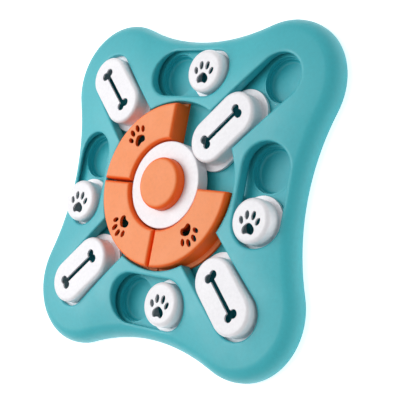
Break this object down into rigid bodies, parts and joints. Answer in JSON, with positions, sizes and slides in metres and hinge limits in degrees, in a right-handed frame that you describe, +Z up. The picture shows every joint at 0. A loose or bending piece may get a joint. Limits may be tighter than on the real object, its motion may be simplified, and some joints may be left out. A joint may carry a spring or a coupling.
{
  "type": "dog puzzle feeder toy",
  "caption": "Pillow-shaped board with treat wells under sliding and turning covers, and a squeaking push button in the middle.",
  "frame": {"origin": "on the table under the middle of the push button, at the level of the feet", "axes": "+Z up out of the face, +Y towards the side whose round slider starts at its +X end, +X towards the side whose round slider starts at its -Y end"},
  "size_m": [0.2522, 0.2522, 0.0302],
  "materials": {
    "board_turquoise": "satin injection-moulded plastic",
    "tray_turquoise": "satin injection-moulded plastic",
    "orange_plastic": "satin injection-moulded plastic",
    "white_plastic": "satin injection-moulded plastic",
    "soft_bulb": "soft translucent vinyl",
    "screw_steel": "zinc-plated",
    "foot_rubber": "matt non-slip rubber"
  },
  "bodies": {
    "board": {"top_shell": "board_turquoise", "tray": "tray_turquoise", "treat_cups": "tray_turquoise", "hub": "white_plastic", "squeaker_bellows": "soft_bulb", "squeaker_reed": "soft_bulb", "hub_screws": "screw_steel", "tray_screws": "screw_steel", "foot_upper_right": "foot_rubber", "foot_upper_left": "foot_rubber", "foot_lower_left": "foot_rubber", "foot_lower_right": "foot_rubber"},
    "button": {"squeak_button": "orange_plastic"},
    "block_upper_left": {"block_upper_left": "orange_plastic"},
    "block_lower_left": {"block_lower_left": "orange_plastic"},
    "block_lower_right": {"block_lower_right": "orange_plastic"},
    "bone_slider_upper_right": {"bone_slider_upper_right": "white_plastic"},
    "bone_slider_upper_left": {"bone_slider_upper_left": "white_plastic"},
    "bone_slider_lower_left": {"bone_slider_lower_left": "white_plastic"},
    "bone_slider_lower_right": {"bone_slider_lower_right": "white_plastic"},
    "paw_slider_top": {"paw_slider_top": "white_plastic"},
    "paw_slider_right": {"paw_slider_right": "white_plastic"},
    "paw_slider_bottom": {"paw_slider_bottom": "white_plastic"},
    "paw_slider_left": {"paw_slider_left": "white_plastic"}
  },
  "joints": [
    {"name": "button_press", "type": "slide", "parent": "board", "child": "button", "axis": [0, 0, -1], "range_m": [0, 0.004], "stiffness_N_per_m": 1200, "springref_m": -0.0015, "deforming": ["squeaker_bellows"]},
    {"name": "block_turn_upper_left", "type": "hinge", "parent": "board", "child": "block_upper_left", "pos_m": [0, 0, 0.0103], "axis": [0, 0, 1], "range_deg": [-20, 0.7]},
    {"name": "block_turn_lower_left", "type": "hinge", "parent": "board", "child": "block_lower_left", "pos_m": [0, 0, 0.0103], "axis": [0, 0, 1], "range_deg": [-0.7, 0.7]},
    {"name": "block_turn_lower_right", "type": "hinge", "parent": "board", "child": "block_lower_right", "pos_m": [0, 0, 0.0103], "axis": [0, 0, 1], "range_deg": [-0.7, 20]},
    {"name": "bone_slide_upper_right", "type": "slide", "parent": "board", "child": "bone_slider_upper_right", "axis": [0.7071, 0.7071, 0], "range_m": [0, 0.041]},
    {"name": "bone_slide_upper_left", "type": "slide", "parent": "board", "child": "bone_slider_upper_left", "axis": [-0.7071, 0.7071, 0], "range_m": [0, 0.00465]},
    {"name": "bone_slide_lower_left", "type": "slide", "parent": "board", "child": "bone_slider_lower_left", "axis": [-0.7071, -0.7071, 0], "range_m": [-0.00185, 0.00275]},
    {"name": "bone_slide_lower_right", "type": "slide", "parent": "board", "child": "bone_slider_lower_right", "axis": [0.7071, -0.7071, 0], "range_m": [-0.0022, 0.0024]},
    {"name": "paw_slide_top", "type": "slide", "parent": "board", "child": "paw_slider_top", "axis": [-1, 0, 0], "range_m": [0, 0.0372]},
    {"name": "paw_slide_right", "type": "slide", "parent": "board", "child": "paw_slider_right", "axis": [0, 1, 0], "range_m": [0, 0.0372]},
    {"name": "paw_slide_bottom", "type": "slide", "parent": "board", "child": "paw_slider_bottom", "axis": [-1, 0, 0], "range_m": [0, 0.0372]},
    {"name": "paw_slide_left", "type": "slide", "parent": "board", "child": "paw_slider_left", "axis": [0, 1, 0], "range_m": [0, 0.0372]}
  ]
}
